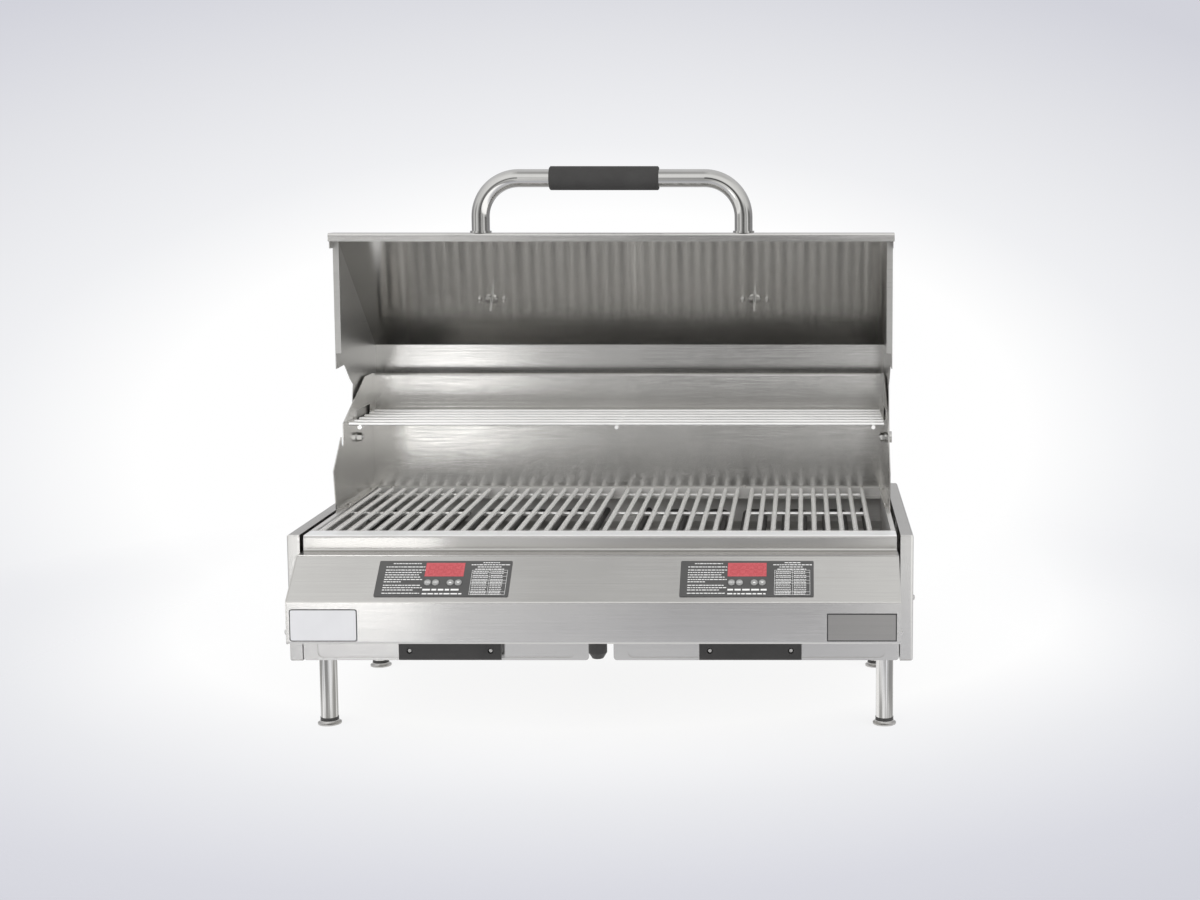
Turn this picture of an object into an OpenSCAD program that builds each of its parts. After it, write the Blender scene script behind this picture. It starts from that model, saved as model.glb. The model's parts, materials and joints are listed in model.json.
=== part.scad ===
// Electric table grill with a hinged lid, standing on four legs, lid open at rest.
// X runs to the right, Y to the back and Z up; the floor is z = 0.
// Sizes below are measured from the front flanges of the side panels, then centred.

/* [Body] */
// Width over the two side panels
body_w = 889; // [800:1:980]
// Depth of the space behind the rear wall
rear_space = 30.5; // [26:0.5:50]
// Height of the side panels
body_h = 182; // [170:1:200]
// Height of the side panels' lower edge above the floor
body_lift = 110.5; // [90:0.5:150]
// Thickness of the body's sheet steel
sheet = 1.5; // [1:0.1:2]
// Inside radius of the bends in the sheet
bend_r = 2; // [1:0.25:2.5]
// Width of the side panels' folded flanges
flange_w = 18.6; // [14:0.1:24]
// Open gap between a side panel's flange and the firebox rim
rim_gap = 5.4; // [4.5:0.1:8]
// Width of the flat rim along the firebox sides
rim_w = 5; // [4:0.5:12]

/* [Front] */
// Depth of the raised front rail
rail_d = 40; // [30:1:50]
// Height of the front rail's face above the ledge
rail_h = 21.5; // [20:0.5:26]
// Radius of the bend between the ledge and the rail's face
rail_foot_r = 4; // [2:0.5:6]
// Depth of the ledge in front of the rail
ledge_d = 30; // [28:1:36]
// Depth of the control box's sloped face, front to back
slope_d = 58; // [52:1:66]
// Height of the control box's sloped face
slope_h = 51.5; // [46:0.5:58]
// Height of the control box's upright face
face_h = 59; // [52:0.5:62]
// Distance of each control panel from the middle
zone_x = 210; // [180:1:225]

/* [Controls] */
// Width of a control panel
panel_w = 185; // [160:1:200]
// Height of a control panel along the slope
panel_h = 60; // [58:0.5:62]
// Thickness of a control panel
panel_t = 1.2; // [1:0.1:1.6]
// Width of the display window
display_w = 54; // [46:0.5:60]
// Height of the display window
display_h = 23; // [19:0.5:24]
// Diameter of a push button
button_dia = 9.6; // [8:0.1:9.8]
// Distance between the two buttons of a pair
button_pitch = 11; // [10.8:0.1:12]
// Distance between the middles of the two pairs
pair_pitch = 31.4; // [28:0.2:36]
// How far a push button travels
button_travel = 0.8; // [0.5:0.1:1.2]

/* [Cooking] */
// Front to back length of a grate rod
rod_len = 352; // [340:1:360]
// Diameter of a grate rod
rod_dia = 8; // [6:0.5:9]
// Rods in one grate
grate_rods = 10; // [8:1:11]
// How much wider the gap between two grates is than the gaps in a grate
grate_gap = 4; // [2:0.5:12]
// Gap between the left grate and the firebox's side
grate_side = 2; // [1:0.5:12]
// Open gap between the right grate and the firebox's side
grate_open = 26; // [2:0.5:40]
// Diameter of the cross rods under grates and rack
cross_dia = 6; // [4:0.5:7]
// Diameter of a heating element's tube
element_dia = 8.5; // [6.5:0.5:10]
// Distance of an element's outer run from the firebox's side
element_side = 28; // [20:0.5:40]
// Distance of an element's inner run from the middle
element_inner = 34; // [20:0.5:50]
// Runs in one heating element
element_runs = 12; // [8:2:12]
// Depth of the heating elements under the rail's top
element_drop = 38; // [34:0.5:46]
// Height of the rear wall above the rail's top
wall_h = 188; // [180:1:192]
// Diameter of a warming rack's rod
rack_dia = 5; // [4:0.5:6]
// Width of the slots for a spit rod
spit_slot = 12; // [8:0.5:13]
// Number of warming rack rods
rack_rods = 6; // [5:1:7]
// Front to back depth of the warming rack
rack_d = 158; // [140:1:160]
// Height of the warming rack above the rail's top
rack_lift = 125; // [118:1:130]

/* [Lid] */
// Thickness of the lid's sheet
lid_sheet = 1.2; // [1:0.1:1.5]
// Distance of the hinge in front of the rear wall
hinge_fore = 103.5; // [100:0.5:107]
// Height of the hinge above the rail's top
hinge_lift = 98; // [96:1:100]
// How far the closed lid's front stands forward of the rail
lid_front = 25; // [22:0.5:27]
// Height of the closed lid's upright front band
band_h = 34; // [33:0.5:40]
// Gap between the hood's ends and the side panels' flanges
hood_gap = 0.9; // [0.6:0.1:1.2]
// How far the hood stands past the lid's side plates
hood_over = 1.5; // [0.5:0.1:2]
// Width of the lid's lip
lip_w = 12.5; // [10:0.5:14]
// Height of the closed lid above the hinge
lid_top = 148; // [147.5:0.5:156]
// Depth of the sloped front of the closed lid
lid_slope_d = 191; // [175:1:205]
// Height of the closed lid's rear flange
lid_back_h = 38; // [34:1:40]
// Width of the lid's folded side flange
lid_flange = 9; // [7:0.5:10]
// Radius of the lid's hinge ears
ear_r = 22; // [18:0.5:26]
// Diameter of the hinge bolts' bearing shoulders
hinge_dia = 10; // [8:0.5:12]

/* [Handle] */
// Distance of a handle leg from the middle
handle_x = 198; // [170:1:220]
// Diameter of the handle tube
handle_dia = 27; // [22:0.5:28]
// Wall of the handle tube
handle_wall = 1.5; // [1:0.1:2.5]
// Distance of the handle bar from the lid
handle_reach = 82; // [76:1:90]
// Bend radius of the handle tube
handle_bend = 58; // [45:1:60]
// Length of the grip
grip_len = 164; // [120:1:200]
// Diameter of the grip
grip_dia = 36; // [32:0.5:38]
// Sideways offset of the grip
grip_shift = -11; // [-20:1:20]

/* [Gauges] */
// Diameter of a lid gauge
gauge_dia = 56; // [48:1:64]
// Depth of a lid gauge's case
gauge_t = 10; // [9:0.5:14]
// Length of a gauge's stem inside the lid
stem_len = 25; // [20:1:32]

/* [Trays] */
// Depth of a drip tray's pan
tray_depth = 34; // [30:0.5:35]
// Sheet thickness of the trays
tray_sheet = 1.2; // [1:0.1:1.5]
// Gap between a drip tray's rear end and the firebox's rear wall
tray_end_gap = 11.5; // [6:0.5:30]
// Gap between the two tray fronts
tray_gap = 35; // [35:0.5:40]
// Length of a tray handle
pull_len = 145; // [120:1:160]
// Height of a tray handle
pull_h = 27; // [24:0.5:30]
// Distance of a tray handle from the middle
pull_x = 213; // [205:1:228]
// How far a tray handle stands out
pull_d = 14; // [12:0.5:16]

/* [Legs] */
// Diameter of a leg tube
leg_dia = 25.4; // [22:0.1:30]
// Distance of a leg from the side panel's outer face
leg_inset = 37.5; // [34:0.5:40]
// Distance of a leg from the nearer end of the side panels
leg_end = 62; // [50:1:80]
// Diameter of a foot's disc
foot_dia = 34; // [30:0.5:40]
// Diameter of a foot's threaded stud
stud_dia = 10; // [8:0.5:12]

/* [Fits] */
// Running clearance of a pin or stud in its bore, radial
run_fit = 0.05; // [0.02:0.01:0.08]
// Clearance between loose pieces and what carries them
seat_gap = 0.3; // [0.25:0.05:0.4]

/* [Hidden] */
$fn = 48;

// Heights of the body
base_z = body_lift;
top_z = base_z + body_h;
rail_z = top_z - 1;
ledge_z = rail_z - rail_h;

// Widths of the body, each measured from the middle
half_w = body_w / 2;
flange_x = half_w - flange_w;
rim_x = flange_x - rim_gap;
tub_x = rim_x - rim_w - sheet;
wall_x = rim_x - 1 - sheet;

// Leg plates that lie on the side panels' lower flanges
plate_t = 2;
plate_z = base_z + sheet;
plate_w = 55;
plate_end = 20;

// Firebox tub
tub_front = rail_d;
tub_in = tub_front + sheet;
rod_end_gap = 1;
tub_out = tub_in + rod_len + 2 * rod_end_gap;
rear_rim_d = 8;
rear_y = tub_out + rear_rim_d;
body_d = rear_y + rear_space;
tub_lift = 80;
tub_floor_z = base_z + tub_lift;
weld = 1;
grate_seat_z = rail_z - rod_dia - cross_dia + weld - seat_gap;
grate_ledge = 22;
rail_lap = 18;
rest_inset = 70;
rest_size = [3, 12];
element_z = rail_z - element_drop;
element_fit = 1;

// Control box outline, in depth and height
box_top_z = ledge_z - sheet;
box_top_y = -ledge_d - 1;
box_face_y = box_top_y - slope_d;
box_knee_z = box_top_z - slope_h;
box_floor_z = box_knee_z - face_h;
slope_angle = atan2(slope_h, slope_d);
slope_mid = [box_top_y - slope_d / 2, box_top_z - slope_h / 2];
box_lap = 6;
box_upstand = 16;
box_outline = [
    [-box_lap, box_top_z], [box_top_y, box_top_z], [box_face_y, box_knee_z],
    [box_face_y, box_floor_z], [rail_d, box_floor_z], [rail_d, tub_floor_z + box_upstand]
];
end_outline = [
    [-1, box_top_z], box_outline[1], box_outline[2], box_outline[3], [-1, box_floor_z]
];
end_proud = 0.6;
box_w = 2 * (rim_x + sheet);

// Controls, measured on the slope from a panel's middle
display_y = panel_h / 2 - 3.5 - display_h / 2;
button_y = -panel_h / 2 + 22.8;
button_xs = [for (pair = [-1, 1], place = [-1, 1]) pair * pair_pitch / 2 + place * button_pitch / 2];
button_stand = 1.2;
button_collar = button_pitch - 0.4;
collar_t = 1;
stem_deep = 3;
window_w = 110;
window_h = panel_h - 5;
board_w = 124;
board_h = panel_h - 3;
board_t = 1.6;
board_deep = 10.4;
post_dia = 6;
power_base = [150, 48, 2];
relay = [32, 28, 34];
relay_pitch = 45;
terminal = [7, 24, 16];
terminal_pitch = 10;
power_margin = 10;

// Cooking space above the rim
hinge_back = rear_y - hinge_fore;
hinge = [hinge_back, rail_z + hinge_lift];
wall_top_z = rail_z + wall_h;
rack_z = rail_z + rack_lift;
rack_back = rear_y - 12;
rack_front = rack_back - rack_d;
rack_half = wall_x - seat_gap - 5;
rack_cross_x = wall_x - 22;
tab_w = 15;
tab_front = rack_front + 65;
tab_back = rack_back - 6;
wall_reach = 142;
corner_lap = 4;
grates = 4;
rod_field = 2 * tub_x - grate_side - grate_open - rod_dia;
rod_pitch = (rod_field - (grates - 1) * grate_gap) / (grates * grate_rods - 1);
grate_pitch = grate_rods * rod_pitch + grate_gap;
grate_w = (grate_rods - 1) * rod_pitch;
element_pitch = (tub_x - element_side - element_inner) / (element_runs - 1);
element_x = (tub_x - element_side + element_inner) / 2;

// Lid, drawn closed, and the angle it then swings back to rest
lid_angle = 90;
lid_x = flange_x - hood_gap - hood_over;
lip_z = ledge_z + 2.5;
band_z = lip_z + band_h;
lid_top_z = hinge[1] + lid_top;
slope_back = -lid_front + lid_slope_d;
lid_back = hinge[0] + hinge[1] - top_z - 0.5;
lid_outline = [
    [lip_w - lid_front, lip_z], [-lid_front, lip_z], [-lid_front, band_z],
    [slope_back, lid_top_z], [lid_back, lid_top_z], [lid_back, lid_top_z - lid_back_h]
];
lid_edge_z = rail_z + 2;
ear_front = [-84, 0];
ear_notch = [-94, -17];
ear_nose = [-120, -49];
lid_slope_angle = atan2(lid_top_z - band_z, lid_slope_d);
gauge_up = 170;
gauge_place = [-lid_front + gauge_up * cos(lid_slope_angle), band_z + gauge_up * sin(lid_slope_angle)];
gauge_stem_dia = 4;
gauge_pin_dia = 2;
gauge_floor = 3;
gauge_wall = 3;
bezel = 1.5;
washer = [21, 2];
handle_z = lip_z + band_h / 2 - 1;
collar_dia = handle_dia + 5;
foot_collar_t = 3;
collar_plug = 14;
handle_bolt = 8;
bolt_head = [14, 5];

// Trays
tray_len = tub_out - tray_end_gap;
tray_clear = 1.5;
tray_z = plate_z + plate_t + tray_clear;
tray_rim_z = tray_z + tray_depth;
tray_front_top = box_floor_z - 1;
tray_front_low = base_z + 0.8;
tray_front_t = 2.4;
runner_z = tray_rim_z - seat_gap;
runner_w = 10;
runner_h = 16;
runner_set = 3.5;
runner_in = tray_gap / 2 - runner_set;
pan_clear = 2;
pan_in = runner_in + runner_w + pan_clear;
pan_out = tub_x - runner_w - pan_clear;
pan_rim = 8;
tray_side_gap = 1.4;
tray_mid = (tray_gap / 2 + flange_x - tray_side_gap) / 2;
tray_recess = 1.2;
pull_z = tray_front_low + 3.5;
pull_root = 19;
pull_wall = 5;
pull_screw_x = 57.5;
pull_screw_z = 13.6;
pull_screw_dia = 8;

// Legs
leg_x = half_w - leg_inset;
leg_wall = 1.5;
foot_t = 6;
bush_z = foot_t + 0.5;
leg_front = leg_end;
leg_back = body_d - leg_end;
bush_t = 4;
bush_deep = 20;

// Cord gland under the control box
gland_y = -40;
gland_dia = 26;
gland_bore = 10;
gland_drop = 32;

// The whole stands with its middle over the origin
rear_reach = hinge[0] + lid_top;
middle_y = (box_face_y - end_proud + rear_reach) / 2;

// Folded sheet: an outline in depth and height, thickened to the right of its travel
function unit(v) = v / norm(v);
function right_of(a, b) = let (d = unit(b - a)) [d[1], -d[0]];
function corner_shift(path, i) =
    i == 0 ? right_of(path[0], path[1]) :
    i == len(path) - 1 ? right_of(path[i - 1], path[i]) :
    let (n = right_of(path[i - 1], path[i]), m = right_of(path[i], path[i + 1])) (n + m) / (1 + n * m);
bend_steps = 5;
function spun(v, a) = [v[0] * cos(a) - v[1] * sin(a), v[0] * sin(a) + v[1] * cos(a)];
function bend_points(before, corner, after, t, r) =
    let (
        d = unit(corner - before),
        e = unit(after - corner),
        left = sign(d[0] * e[1] - d[1] * e[0]),
        radius = left * t < 0 ? r + abs(t) : r,
        turn = acos(d * e),
        start = corner - d * radius * tan(turn / 2),
        centre = start + left * radius * [-d[1], d[0]]
    )
    [for (i = [0:bend_steps]) centre + spun(start - centre, left * turn * i / bend_steps)];
// Rounds a path's corners, so that a sheet of thickness t has the inside radius r, or one r for each bend
function rounded(path, t, r) = concat(
    [path[0]],
    [for (i = [1:len(path) - 2])
        each bend_points(path[i - 1], path[i], path[i + 1], t, is_list(r) ? r[i - 1] : r)],
    [path[len(path) - 1]]
);
function inner_path(path, t) = [for (i = [0:len(path) - 1]) path[i] + t * corner_shift(path, i)];
function turned(path) = [for (i = [len(path) - 1:-1:0]) path[i]];
function sheet_outline(path, t) = concat(path, turned(inner_path(path, t)));

// Extrudes a depth and height outline across the grill, from x0 to x1
module across(x0, x1) {
    translate([x0, 0, 0]) rotate([90, 0, 90]) linear_extrude(x1 - x0) children();
}
module folded(path, t, width, r = bend_r) {
    across(-width / 2, width / 2) polygon(sheet_outline(rounded(path, t, r), t));
}
// A box between two corners
module block(low, high) {
    translate(low) cube(high - low);
}
// A pan's outside or inside, rounded along the edges of its face at x1
module pan(x0, x1, low, high, r) {
    intersection() {
        translate([0, 0, low[1]]) linear_extrude(high[1] - low[1])
            polygon(rounded([[x0, low[0]], [x1, low[0]], [x1, high[0]], [x0, high[0]]], 0, r));
        translate([0, high[0], 0]) rotate([90, 0, 0]) linear_extrude(high[0] - low[0])
            polygon(rounded([[x0, low[1]], [x1, low[1]], [x1, high[1]], [x0, high[1]]], 0, r));
    }
}
module sided(side) {
    if (side < 0) mirror([1, 0, 0]) children();
    else children();
}
module centred() {
    translate([0, -middle_y, 0]) children();
}
// Turns the closed lid about its hinge to its place at rest
module opened() {
    translate([0, hinge[0], hinge[1]]) rotate([-lid_angle, 0, 0])
        translate([0, -hinge[0], -hinge[1]]) children();
}
// Local x across, y up the slope and z out of it
module on_box_slope(x) {
    translate([x, slope_mid[0], slope_mid[1]]) rotate([slope_angle, 0, 0]) children();
}
module on_lid_slope(x) {
    translate([x, gauge_place[0], gauge_place[1]]) rotate([lid_slope_angle, 0, 0]) children();
}
module rod_y(x, y0, y1, z, dia) {
    translate([x, y0, z]) rotate([-90, 0, 0]) cylinder(h = y1 - y0, d = dia);
}
module rod_x(x0, x1, y, z, dia) {
    translate([x0, y, z]) rotate([0, 90, 0]) cylinder(h = x1 - x0, d = dia);
}
module rounded_plate(w, h, r) {
    square([w - 2 * r, h], center = true);
    square([w, h - 2 * r], center = true);
    for (x = [-1, 1], y = [-1, 1]) translate([x * (w / 2 - r), y * (h / 2 - r)]) circle(r);
}

// Body shell
module side_panel(side) {
    seam = 0.6;
    color("silver") sided(side) difference() {
        pan(flange_x, half_w, [0, base_z], [body_d, top_z], bend_r + sheet);
        pan(flange_x - 1, half_w - sheet, [sheet, base_z + sheet], [body_d - sheet, top_z - sheet], bend_r);
        for (z = [base_z + sheet, top_z - sheet - seam])
            block([flange_x - 1, -1, z], [half_w - bend_r - sheet, sheet / 2, z + seam]);
    }
}
module left_side_panel() {
    side_panel(-1);
}
module right_side_panel() {
    side_panel(1);
}
module firebox() {
    drain_w = 300;
    drain_d = 90;
    color("darkgray") difference() {
        union() {
            for (side = [-1, 1]) sided(side) {
                block([tub_x, tub_front, plate_z + plate_t], [tub_x + sheet, tub_out + sheet, rail_z]);
                block([tub_x, tub_front, rail_z - sheet], [rim_x, rear_y, rail_z]);
            }
            block([-tub_x, tub_front, tub_floor_z], [tub_x, tub_in, grate_seat_z]);
            block([-tub_x, tub_front, grate_seat_z - sheet], [tub_x, tub_in + grate_ledge, grate_seat_z]);
            block([-tub_x, tub_out, tub_floor_z], [tub_x, tub_out + sheet, rail_z]);
            block([-tub_x, tub_out, rail_z - sheet], [tub_x, rear_y, rail_z]);
            block([-tub_x, tub_out - grate_ledge, grate_seat_z - sheet], [tub_x, tub_out, grate_seat_z]);
            block([-tub_x, tub_front, tub_floor_z], [tub_x, tub_out + sheet, tub_floor_z + sheet]);
        }
        for (x = [-zone_x, zone_x])
            translate([x, (tub_in + tub_out) / 2, tub_floor_z - 1]) linear_extrude(sheet + 2)
                rounded_plate(drain_w, drain_d, 12);
        for (x = [-element_x, element_x]) element_ends(x)
            rod_y(0, tub_out - 1, tub_out + sheet + 1, element_z, element_dia + 2 * element_fit);
    }
}
module front_rail() {
    color("gainsboro") folded([
        [-ledge_d, ledge_z], [0, ledge_z], [0, rail_z], [rail_d, rail_z], [rail_d, grate_seat_z - rail_lap]
    ], sheet, 2 * rim_x, [rail_foot_r, bend_r, bend_r]);
}
module rear_wall() {
    hem = 3;
    color("lightgray") folded([
        [rear_y + sheet + hem, wall_top_z], [rear_y, wall_top_z], [rear_y, rail_z - 30]
    ], -sheet, 2 * wall_x);
}
// Fixed wall beside the cooking space, with the spit slot, rack tab and hinge hole
module fixed_wall(side) {
    foot_reach = 89;
    foot_clear = 0.5;
    foot_w = wall_x - tub_x + min(grate_side, grate_open) - foot_clear;
    wall_fore = 130;
    nose = [-wall_reach, -32];
    slot = [-87, 4];
    horn = [slot[0] - spit_slot / 2 - 2, 13];
    shoulder = [slot[0] + spit_slot / 2, 32];
    crest = 56;
    color("silver") sided(side) difference() {
        union() {
            across(wall_x, wall_x + sheet) difference() {
                polygon([
                    [hinge[0] - wall_fore, rail_z], hinge + nose, hinge + horn,
                    hinge + [shoulder[0], horn[1]], hinge + shoulder,
                    [hinge[0] + crest, wall_top_z], [rear_y, wall_top_z], [rear_y, rail_z]
                ]);
                translate(hinge + slot) circle(d = spit_slot);
                translate(hinge + slot - [spit_slot / 2, 0]) square([spit_slot, horn[1]]);
                translate([tab_front, rack_z]) square([tab_back - tab_front, tab_w]);
            }
            block([wall_x - foot_w, hinge[0] - foot_reach, rail_z], [wall_x + sheet, rear_y, rail_z + sheet]);
            block([wall_x - tab_w, tab_front, rack_z - sheet], [wall_x + sheet, tab_back, rack_z]);
            block([wall_x - corner_lap, rear_y - sheet, rail_z], [wall_x + sheet, rear_y, wall_top_z]);
        }
        translate([wall_x - 1, hinge[0], hinge[1]]) rotate([0, 90, 0])
            cylinder(h = sheet + 2, d = hinge_dia - 2);
    }
}
module left_fixed_wall() {
    fixed_wall(-1);
}
module right_fixed_wall() {
    fixed_wall(1);
}
module rear_panel() {
    vents = 11;
    vent_pitch = 60;
    vent_size = [40, 6];
    vent_lift = 100;
    row_pitch = 24;
    foot_flange = 16;
    low = base_z + seat_gap;
    color("silver") difference() {
        folded([
            [rear_y + sheet, top_z], [body_d, top_z], [body_d, low], [body_d - foot_flange, low]
        ], sheet, 2 * (flange_x - seat_gap));
        for (i = [0:vents - 1], row = [0, 1])
            translate([(i - (vents - 1) / 2) * vent_pitch, body_d + 1, base_z + vent_lift + row * row_pitch])
                rotate([90, 0, 0]) linear_extrude(sheet + 2)
                    rounded_plate(vent_size[0], vent_size[1], vent_size[1] / 2 - 0.1);
    }
}
module leg_plate(side) {
    color("darkgray") sided(side)
        block([half_w - sheet - plate_w, plate_end, plate_z],
            [half_w - sheet - bend_r, body_d - plate_end, plate_z + plate_t]);
}
module left_leg_plate() {
    leg_plate(-1);
}
module right_leg_plate() {
    leg_plate(1);
}
// Angles under the firebox that carry the rims of the drip trays
module tray_runners() {
    runner_y = [tub_in, tub_out];
    color("darkgray") {
        for (side = [-1, 1]) sided(side) {
            block([tub_x - runner_w, runner_y[0], runner_z - sheet], [tub_x, runner_y[1], runner_z]);
            block([tub_x - sheet, runner_y[0], runner_z - sheet], [tub_x, runner_y[1], runner_z + runner_h]);
        }
        block([-runner_in, runner_y[0], tub_floor_z - sheet], [runner_in, runner_y[1], tub_floor_z]);
        for (side = [-1, 1]) sided(side) {
            low = [runner_in - sheet, runner_y[0], runner_z - sheet];
            block(low, [runner_in, runner_y[1], tub_floor_z]);
            block(low, [runner_in + runner_w, runner_y[1], runner_z]);
        }
    }
}

// Control box and what it holds
module control_box() {
    color("lightgray") difference() {
        union() {
            folded(box_outline, -sheet, box_w - 2 * sheet);
            for (side = [-1, 1]) sided(side) across(box_w / 2 - sheet, box_w / 2)
                polygon(inner_path(rounded(end_outline, -sheet, bend_r), end_proud));
        }
        for (x = [-zone_x, zone_x]) on_box_slope(x)
            translate([-window_w / 2, -window_h / 2, -2 * sheet]) cube([window_w, window_h, 4 * sheet]);
        translate([0, gland_y, box_floor_z - 1]) cylinder(h = sheet + 2, d = gland_dia - 6);
    }
}
module control_panel(x) {
    color("#3a3a3c") on_box_slope(x) linear_extrude(panel_t) difference() {
        rounded_plate(panel_w, panel_h, 2);
        translate([0, display_y]) square([display_w, display_h], center = true);
        for (b = button_xs) translate([b, button_y]) circle(d = button_dia + 2 * seat_gap);
    }
}
module left_control_panel() {
    control_panel(-zone_x);
}
module right_control_panel() {
    control_panel(zone_x);
}
module display(x) {
    lens_fit = 0.05;
    color("#d8606a") on_box_slope(x) translate([0, display_y, -1]) linear_extrude(panel_t + 1.2)
        square([display_w - 2 * lens_fit, display_h - 2 * lens_fit], center = true);
}
module left_display() {
    display(-zone_x);
}
module right_display() {
    display(zone_x);
}
// Circuit board on posts behind the slope, with the display module and the key switches
module control_board(x) {
    switch_top = stem_deep + button_travel + seat_gap;
    color("darkgreen") on_box_slope(x) {
        translate([-board_w / 2, -board_h / 2, -board_deep - board_t]) cube([board_w, board_h, board_t]);
        for (px = [-1, 1], py = [-1, 1])
            translate([px * (board_w - post_dia) / 2, py * (board_h - post_dia) / 2, -board_deep - board_t])
                cylinder(h = board_deep + board_t - sheet, d = post_dia);
        translate([-display_w / 2 + 1, display_y - display_h / 2 + 1, -board_deep])
            cube([display_w - 2, display_h - 2, board_deep - 1]);
        for (b = button_xs) translate([b, button_y, -board_deep])
            cylinder(h = board_deep - switch_top, d = button_dia - 3);
    }
}
module left_control_board() {
    control_board(-zone_x);
}
module right_control_board() {
    control_board(zone_x);
}
module power_unit() {
    terminal_x = power_margin + 2 * relay_pitch;
    color("dimgray") translate([gland_dia, gland_y - power_base[1] / 2, box_floor_z + sheet]) {
        cube(power_base);
        for (i = [0, 1]) translate([power_margin + i * relay_pitch, power_margin, 0]) cube(relay);
        for (i = [0:3]) translate([terminal_x + i * terminal_pitch, power_margin, 0]) cube(terminal);
    }
}
module button(x) {
    color("gray") on_box_slope(x) translate([0, button_y, 0]) {
        translate([0, 0, -stem_deep]) cylinder(h = stem_deep + panel_t + button_stand, d = button_dia);
        translate([0, 0, -seat_gap - collar_t]) cylinder(h = collar_t, d = button_collar);
    }
}
module left_on_button() {
    button(-zone_x + button_xs[0]);
}
module left_off_button() {
    button(-zone_x + button_xs[1]);
}
module left_up_button() {
    button(-zone_x + button_xs[2]);
}
module left_down_button() {
    button(-zone_x + button_xs[3]);
}
module right_on_button() {
    button(zone_x + button_xs[0]);
}
module right_off_button() {
    button(zone_x + button_xs[1]);
}
module right_up_button() {
    button(zone_x + button_xs[2]);
}
module right_down_button() {
    button(zone_x + button_xs[3]);
}
module cord_gland() {
    nut_t = 6;
    color("#262626") translate([0, gland_y, 0]) difference() {
        union() {
            translate([0, 0, box_floor_z - gland_drop]) rotate_extrude() polygon([
                [0, 0], [gland_dia / 2 - 5, 0], [gland_dia / 2, 8], [gland_dia / 2, gland_drop - 5],
                [gland_dia / 2 + 2, gland_drop - 4], [gland_dia / 2 + 2, gland_drop], [0, gland_drop]
            ]);
            translate([0, 0, box_floor_z - 1]) cylinder(h = sheet + 3 + nut_t, d = gland_dia - 6);
            translate([0, 0, box_floor_z + sheet + 2]) cylinder(h = nut_t, d = gland_dia, $fn = 6);
        }
        translate([0, 0, box_floor_z - gland_drop - 1]) cylinder(h = gland_drop + 30, d = gland_bore);
    }
}

// Heating: a tube bent to and fro, both ends through the firebox's rear wall
function run_x(i) = (i - (element_runs - 1) / 2) * element_pitch;
module element_ends(x) {
    for (i = [0, element_runs - 1]) translate([x + run_x(i), 0, 0]) children();
}
module element(x) {
    bend = element_pitch / 2;
    front = tub_in + 8 + bend;
    back = tub_out - 10 - bend;
    color("#2b2b2d") translate([x, 0, element_z]) {
        for (i = [0:element_runs - 1]) {
            last = i == 0 || i == element_runs - 1;
            rod_y(run_x(i), front, last ? tub_out + 14 : back, 0, element_dia);
            if (i < element_runs - 1) {
                at_front = i % 2 == 0;
                translate([run_x(i) + bend, at_front ? front : back, 0]) rotate([0, 0, at_front ? 180 : 0])
                    rotate_extrude(angle = 180) translate([bend, 0]) circle(d = element_dia);
            }
        }
        element_ends(0) rod_y(0, tub_out + 14, tub_out + 24, 0, element_dia / 2);
    }
}
module left_element() {
    element(-element_x);
}
module right_element() {
    element(element_x);
}
module element_rests() {
    rest_top = element_z - element_dia / 2 - 0.1;
    color("gray") for (y = [tub_in + rest_inset, tub_out - rest_inset])
        block([-tub_x, y, rest_top - rest_size[1]], [tub_x, y + rest_size[0], rest_top]);
}

// Grates and rack
module grate(i) {
    x0 = grate_side + rod_dia / 2 - tub_x + i * grate_pitch;
    front = tub_in + rod_end_gap;
    rod_z = rail_z - rod_dia / 2;
    cross_z = rail_z - rod_dia - cross_dia / 2 + weld;
    color("lightgray") {
        for (n = [0:grate_rods - 1]) rod_y(x0 + n * rod_pitch, front, front + rod_len, rod_z, rod_dia);
        for (y = [front + 14, front + rod_len / 2, front + rod_len - 14])
            rod_x(x0 - 2, x0 + grate_w + 2, y, cross_z, cross_dia);
    }
}
module grate_1() {
    grate(0);
}
module grate_2() {
    grate(1);
}
module grate_3() {
    grate(2);
}
module grate_4() {
    grate(3);
}
module warming_rack() {
    long_z = rack_z + seat_gap + rack_dia / 2;
    step = rack_d / (rack_rods - 1);
    sink = 0.6;
    color("lightgray") {
        for (n = [0:rack_rods - 1]) rod_x(-rack_half, rack_half, rack_front + n * step, long_z, rack_dia);
        for (x = [-rack_cross_x, 0, rack_cross_x])
            rod_y(x, rack_front - 4, rack_back + 4, long_z - (rack_dia + cross_dia) / 2 + sink, cross_dia);
    }
}

// Legs with turning feet
module at_leg(front, side) {
    translate([side * leg_x, front ? leg_front : leg_back, 0]) children();
}
module leg() {
    plug = 4;
    color("silver") translate([0, 0, bush_z + bush_t]) difference() {
        cylinder(h = plate_z - bush_z - bush_t, d = leg_dia);
        translate([0, 0, -1]) cylinder(h = plate_z - bush_z - bush_t - plug + 1, d = leg_dia - 2 * leg_wall);
    }
}
module front_left_leg() {
    at_leg(true, -1) leg();
}
module front_right_leg() {
    at_leg(true, 1) leg();
}
module rear_left_leg() {
    at_leg(false, -1) leg();
}
module rear_right_leg() {
    at_leg(false, 1) leg();
}
module leg_bushes() {
    color("#1c1c1c") for (front = [true, false], side = [-1, 1]) at_leg(front, side)
        translate([0, 0, bush_z]) difference() {
            union() {
                cylinder(h = bush_t, d = leg_dia + 1);
                cylinder(h = bush_t + bush_deep, d = leg_dia - 2 * leg_wall);
            }
            translate([0, 0, -1]) cylinder(h = bush_t + bush_deep + 2, d = stud_dia + 2 * run_fit);
        }
}
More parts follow.
